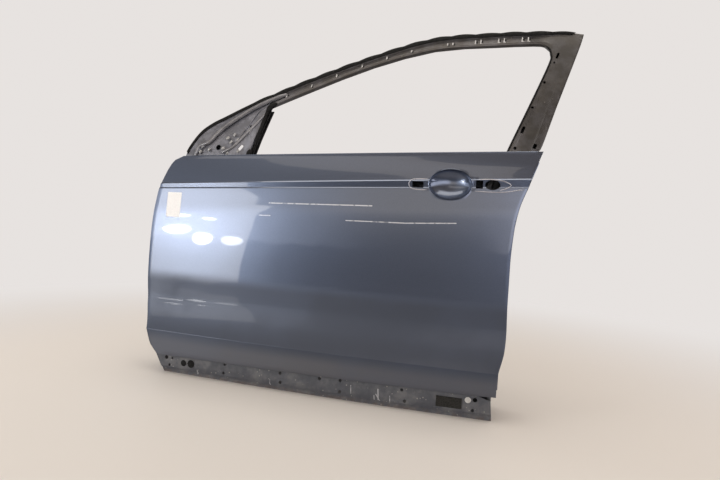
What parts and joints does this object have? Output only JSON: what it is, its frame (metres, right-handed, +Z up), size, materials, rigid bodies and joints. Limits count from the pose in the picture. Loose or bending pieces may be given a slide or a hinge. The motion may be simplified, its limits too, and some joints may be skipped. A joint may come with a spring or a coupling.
{
  "type": "car door shell",
  "caption": "Front left car door shell with outer skin, inner pan, mirror sail, window frame, beam and stiffeners, ready for glass, lock and trim.",
  "frame": {"origin": "middle of the upper hinge face, on the front wall of the inner panel", "axes": "+X to the rear of the car, +Y into the cabin, +Z up; the painted skin faces -Y and the hinge faces look towards -X"},
  "size_m": [1.2189, 0.2704, 1.0263],
  "materials": {
    "body_paint": "glossy metallic",
    "overspray_coat": "satin",
    "dipped_primer": "satin",
    "black_rubber": "matte",
    "black_foam": "matte foam",
    "pale_plastic": "satin",
    "grey_mastic": "matte"
  },
  "bodies": {
    "root": {"outer_skin": "body_paint", "inner_panel": "overspray_coat", "inner_panel_front": "overspray_coat", "inner_panel_rear": "overspray_coat", "sill_closing_panel": "overspray_coat", "sill_plug_small": "black_rubber", "sill_plug_large": "black_rubber", "sill_plug_rear": "pale_plastic", "foam_pad": "black_foam", "window_frame_outer": "overspray_coat", "window_frame_inner": "overspray_coat", "header_seal": "black_rubber", "glass_run_channel_front": "dipped_primer", "glass_run_seal_front": "black_rubber", "glass_run_channel_rear": "dipped_primer", "run_bracket_front": "dipped_primer", "run_bracket_rear": "dipped_primer", "belt_reinforcement_inner": "dipped_primer", "belt_reinforcement_outer": "dipped_primer", "hinge_reinforcement_upper": "dipped_primer", "hinge_reinforcement_lower": "dipped_primer", "hinge_tapping_plate_upper": "dipped_primer", "hinge_tapping_plate_lower": "dipped_primer", "check_strap_reinforcement": "dipped_primer", "latch_reinforcement": "dipped_primer", "handle_reinforcement": "dipped_primer", "mirror_reinforcement": "dipped_primer", "impact_beam": "dipped_primer", "beam_bracket_front": "dipped_primer", "beam_bracket_rear": "dipped_primer", "beam_mastic_front": "grey_mastic", "beam_mastic_middle": "grey_mastic", "beam_mastic_rear": "grey_mastic"}
  },
  "joints": []
}
